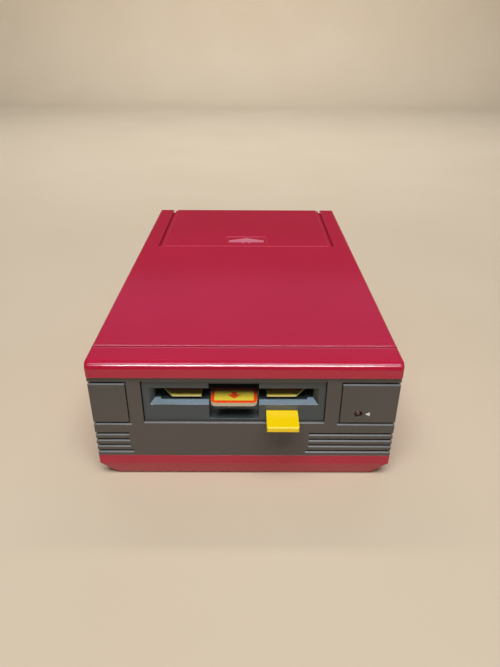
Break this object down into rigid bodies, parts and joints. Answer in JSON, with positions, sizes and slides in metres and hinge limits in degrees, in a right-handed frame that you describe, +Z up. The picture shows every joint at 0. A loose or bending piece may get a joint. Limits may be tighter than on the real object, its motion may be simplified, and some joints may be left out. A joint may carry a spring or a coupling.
{
  "type": "game console disk drive",
  "caption": "Front-loading disk drive for a game console: red case with a dark slotted front, a sliding battery lid, an eject key and a belt-driven mechanism inside",
  "frame": {"origin": "on the floor, in the plane of the rubber feet, under the middle of the whole drive with its key", "axes": "+X to the right seen from the front, +Y from the front to the back, +Z up"},
  "size_m": [0.1502, 0.2644, 0.071],
  "materials": {
    "red_case": "moulded, fine matte grain",
    "dark_panel": "moulded, fine matte grain",
    "bezel": "moulded, satin",
    "key_yellow": "moulded, glossy",
    "card": "printed paperboard",
    "lamp_red": "tinted clear resin",
    "board": "coated laminate",
    "black_plastic": "moulded",
    "white_nylon": "moulded nylon",
    "steel": "turned or drawn",
    "plated_sheet": "zinc-plated sheet",
    "black_painted_steel": "stove-painted sheet",
    "brass": "turned",
    "cast_metal": "die cast",
    "rubber_black": "moulded",
    "felt": "pressed felt",
    "ribbon_grey": "flat cable"
  },
  "bodies": {
    "case": {"top_shell": "red_case", "bottom_shell": "red_case", "front_panel": "dark_panel", "drive_bezel": "bezel", "lamp": "lamp_red", "lamp_board": "board", "drive_board": "board", "power_board": "board", "drive_board_parts": "black_plastic", "power_board_parts": "black_plastic", "adapter_socket": "black_plastic", "power_jack": "black_plastic", "battery_tray": "black_plastic", "gear_posts": "steel", "retaining_clips": "steel", "guide_rods": "steel", "board_screws": "steel", "case_screws": "steel", "chassis_screws": "steel", "motor": "steel", "battery_contacts": "plated_sheet", "spindle_bearing": "brass", "socket_pins": "brass", "jack_pin": "brass", "chassis": "cast_metal", "rubber_bushes": "rubber_black", "rubber_feet": "rubber_black", "drive_belt": "rubber_black", "ribbon_cable": "ribbon_grey"},
    "lid": {"battery_lid": "red_case"},
    "eject": {"eject_key": "key_yellow", "eject_slider": "plated_sheet"},
    "holder": {"disk_holder": "black_painted_steel", "holder_pins": "steel"},
    "card": {"shipping_card": "card"},
    "spindle": {"flywheel": "brass", "spindle_shaft": "steel", "spindle_pinion": "white_nylon", "spindle_hub": "cast_metal"},
    "armature": {"motor_shaft": "steel", "motor_rotor": "steel", "motor_pulley": "black_plastic"},
    "reduction": {"reduction_gear": "white_nylon"},
    "cam_drive": {"cam_gear": "white_nylon", "clutch_felt": "felt"},
    "cam": {"spiral_cam": "white_nylon"},
    "carriage": {"head_carriage": "black_plastic", "read_head": "steel", "follower_pin": "steel", "pad_pin": "steel"},
    "pad": {"pad_arm": "plated_sheet", "felt_pad": "felt"}
  },
  "joints": [
    {"name": "lid_slide", "type": "slide", "parent": "case", "child": "lid", "axis": [0, 1, 0], "range_m": [0, 0.1]},
    {"name": "eject_press", "type": "slide", "parent": "case", "child": "eject", "axis": [0, 1, 0], "range_m": [0, 0.01], "stiffness_N_per_m": 150, "springref_m": -0.01},
    {"name": "holder_lift", "type": "slide", "parent": "case", "child": "holder", "axis": [0, 0, 1], "range_m": [0, 0.003]},
    {"name": "card_slide", "type": "slide", "parent": "holder", "child": "card", "axis": [0, -1, 0], "range_m": [0, 0.1]},
    {"name": "spindle_spin", "type": "hinge", "parent": "case", "child": "spindle", "pos_m": [-0.005, -0.06458, 0.017], "axis": [0, 0, 1], "continuous": true},
    {"name": "motor_spin", "type": "hinge", "parent": "case", "child": "armature", "pos_m": [0.038, 0.00943, 0.017], "axis": [0, 0, 1], "continuous": true},
    {"name": "reduction_spin", "type": "hinge", "parent": "case", "child": "reduction", "pos_m": [-0.01624, -0.03677, 0.024], "axis": [0, 0, 1], "continuous": true},
    {"name": "cam_drive_spin", "type": "hinge", "parent": "case", "child": "cam_drive", "pos_m": [-0.005, -0.00257, 0.028], "axis": [0, 0, 1], "continuous": true},
    {"name": "cam_turn", "type": "hinge", "parent": "case", "child": "cam", "pos_m": [-0.005, -0.00257, 0.033], "axis": [0, 0, 1], "range_deg": [0, 330]},
    {"name": "head_slide", "type": "slide", "parent": "case", "child": "carriage", "axis": [0, -1, 0], "range_m": [0, 0.01901]},
    {"name": "pad_lift", "type": "hinge", "parent": "carriage", "child": "pad", "pos_m": [-0.005, -0.00357, 0.0567], "axis": [-1, 0, 0], "range_deg": [0, 7.5]}
  ],
  "couplings": [
    {"joint": "holder_lift", "follows": "eject_press", "ratio": 0.3},
    {"joint": "pad_lift", "follows": "eject_press", "rad_per_m": 13},
    {"joint": "motor_spin", "follows": "spindle_spin", "ratio": 7},
    {"joint": "reduction_spin", "follows": "spindle_spin", "ratio": -0.25},
    {"joint": "cam_drive_spin", "follows": "spindle_spin", "ratio": 0.05},
    {"joint": "head_slide", "follows": "cam_turn", "m_per_rad": 0.0032988}
  ]
}
